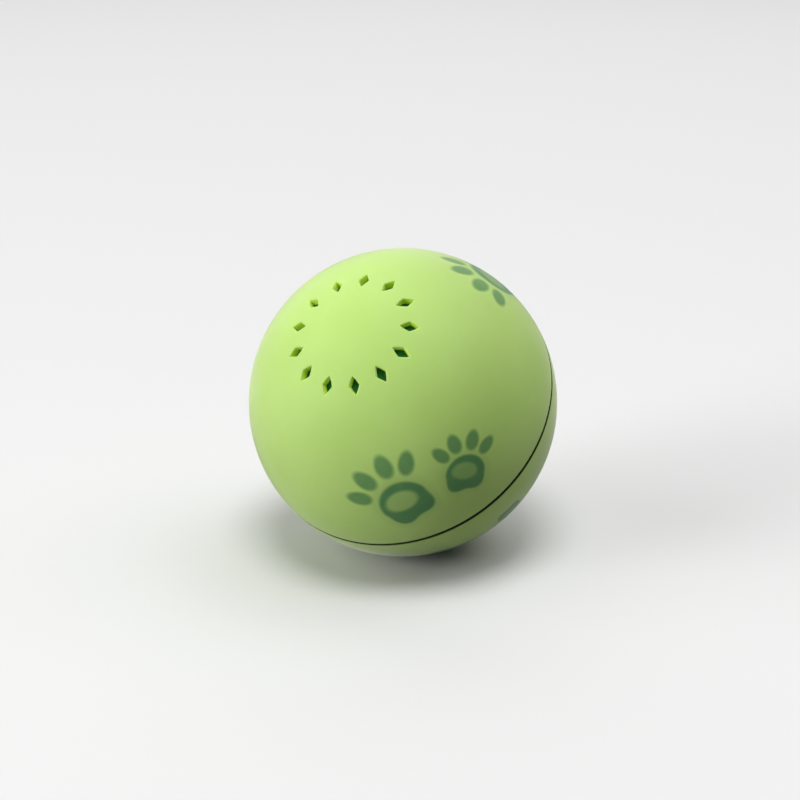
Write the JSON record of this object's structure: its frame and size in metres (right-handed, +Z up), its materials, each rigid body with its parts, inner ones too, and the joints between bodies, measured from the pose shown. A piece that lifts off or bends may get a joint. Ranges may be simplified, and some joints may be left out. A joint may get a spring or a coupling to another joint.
{
  "type": "self-rolling cat ball",
  "caption": "Hollow two-part ball with a ring of slots, holding a geared motor pod that swings about a fixed axle to make the ball roll.",
  "frame": {"origin": "centre of the ball", "axes": "+Z up as the ball lies in the picture; the axle leans 45 degrees in the YZ plane, with the slotted half facing -Y and up"},
  "size_m": [0.08, 0.08, 0.08],
  "materials": {
    "shell_plastic": "soft-touch matte",
    "seal_rubber": "matte",
    "frame_plastic": "fine moulded texture",
    "gear_plastic": "satin acetal",
    "bush_metal": "turned",
    "steel": "ground",
    "screw_steel": "bright plated",
    "motor_steel": "drawn can",
    "motor_plastic": "moulded",
    "cell_wrap": "printed film with a bright end",
    "contact_metal": "nickel plated",
    "ballast_steel": "zinc plated",
    "board_laminate": "solder mask",
    "part_black": "moulded epoxy",
    "cone_paper": "pressed film",
    "can_metal": "drawn can",
    "slider_plastic": "satin"
  },
  "bodies": {
    "root": {"base_shell": "shell_plastic", "seam_seal": "seal_rubber", "drive_socket": "gear_plastic", "drive_socket_screws": "screw_steel", "axle": "steel", "thrust_washer": "steel", "axle_clips": "steel", "output_gear": "gear_plastic"},
    "end_bush": {"axle_end_bush": "gear_plastic"},
    "lid": {"grille_shell": "shell_plastic"},
    "pod": {"pod_frame": "frame_plastic", "pod_floor": "frame_plastic", "floor_screws": "screw_steel", "lower_bush": "bush_metal", "upper_bush": "bush_metal", "gear_bridge": "frame_plastic", "bridge_screws": "screw_steel", "gear_pins": "steel", "motor_can": "motor_steel", "motor_end_cap": "motor_plastic", "motor_terminals": "bush_metal", "motor_screws": "screw_steel", "battery_cells": "cell_wrap", "battery_springs": "contact_metal", "lower_contacts": "contact_metal", "upper_contacts": "contact_metal", "battery_door": "frame_plastic", "door_screw": "screw_steel", "ballast_weight": "ballast_steel", "circuit_board": "board_laminate", "board_screws": "screw_steel", "speaker_frame": "part_black", "speaker_cone": "cone_paper", "control_chip": "part_black", "capacitor": "can_metal", "shake_sensor": "can_metal", "switch_housing": "part_black"},
    "gear_one": {"gear_one": "gear_plastic"},
    "gear_two": {"gear_two": "gear_plastic"},
    "rotor": {"motor_shaft": "steel", "motor_pinion": "bush_metal"},
    "slider": {"switch_slider": "slider_plastic"}
  },
  "joints": [
    {"name": "lid_turn", "type": "hinge", "parent": "root", "child": "end_bush", "pos_m": [0, 0, 0], "axis": [0, -0.7071, 0.7071], "range_deg": [0, 720]},
    {"name": "lid_lift", "type": "slide", "parent": "end_bush", "child": "lid", "axis": [0, -0.7071, 0.7071], "range_m": [0, 0.06]},
    {"name": "pod_spin", "type": "hinge", "parent": "root", "child": "pod", "pos_m": [0, 0, 0], "axis": [0, -0.7071, 0.7071], "continuous": true},
    {"name": "gear_two_spin", "type": "hinge", "parent": "pod", "child": "gear_two", "pos_m": [0.01005, 0.00583, 0.00583], "axis": [0, -0.7071, 0.7071], "continuous": true},
    {"name": "gear_one_spin", "type": "hinge", "parent": "pod", "child": "gear_one", "pos_m": [0.00049, 0.01036, 0.01036], "axis": [0, -0.7071, 0.7071], "continuous": true},
    {"name": "motor_spin", "type": "hinge", "parent": "pod", "child": "rotor", "pos_m": [-0.01004, 0.0071, 0.0071], "axis": [0, -0.7071, 0.7071], "continuous": true},
    {"name": "switch_slide", "type": "slide", "parent": "pod", "child": "slider", "axis": [-0.0698, 0.7054, 0.7054], "range_m": [0, 0.002]}
  ],
  "couplings": [
    {"joint": "lid_lift", "follows": "lid_turn", "m_per_rad": 0.0047746},
    {"joint": "gear_two_spin", "follows": "pod_spin", "ratio": 4.2},
    {"joint": "gear_one_spin", "follows": "pod_spin", "ratio": -15.12},
    {"joint": "motor_spin", "follows": "pod_spin", "ratio": 54.432}
  ]
}
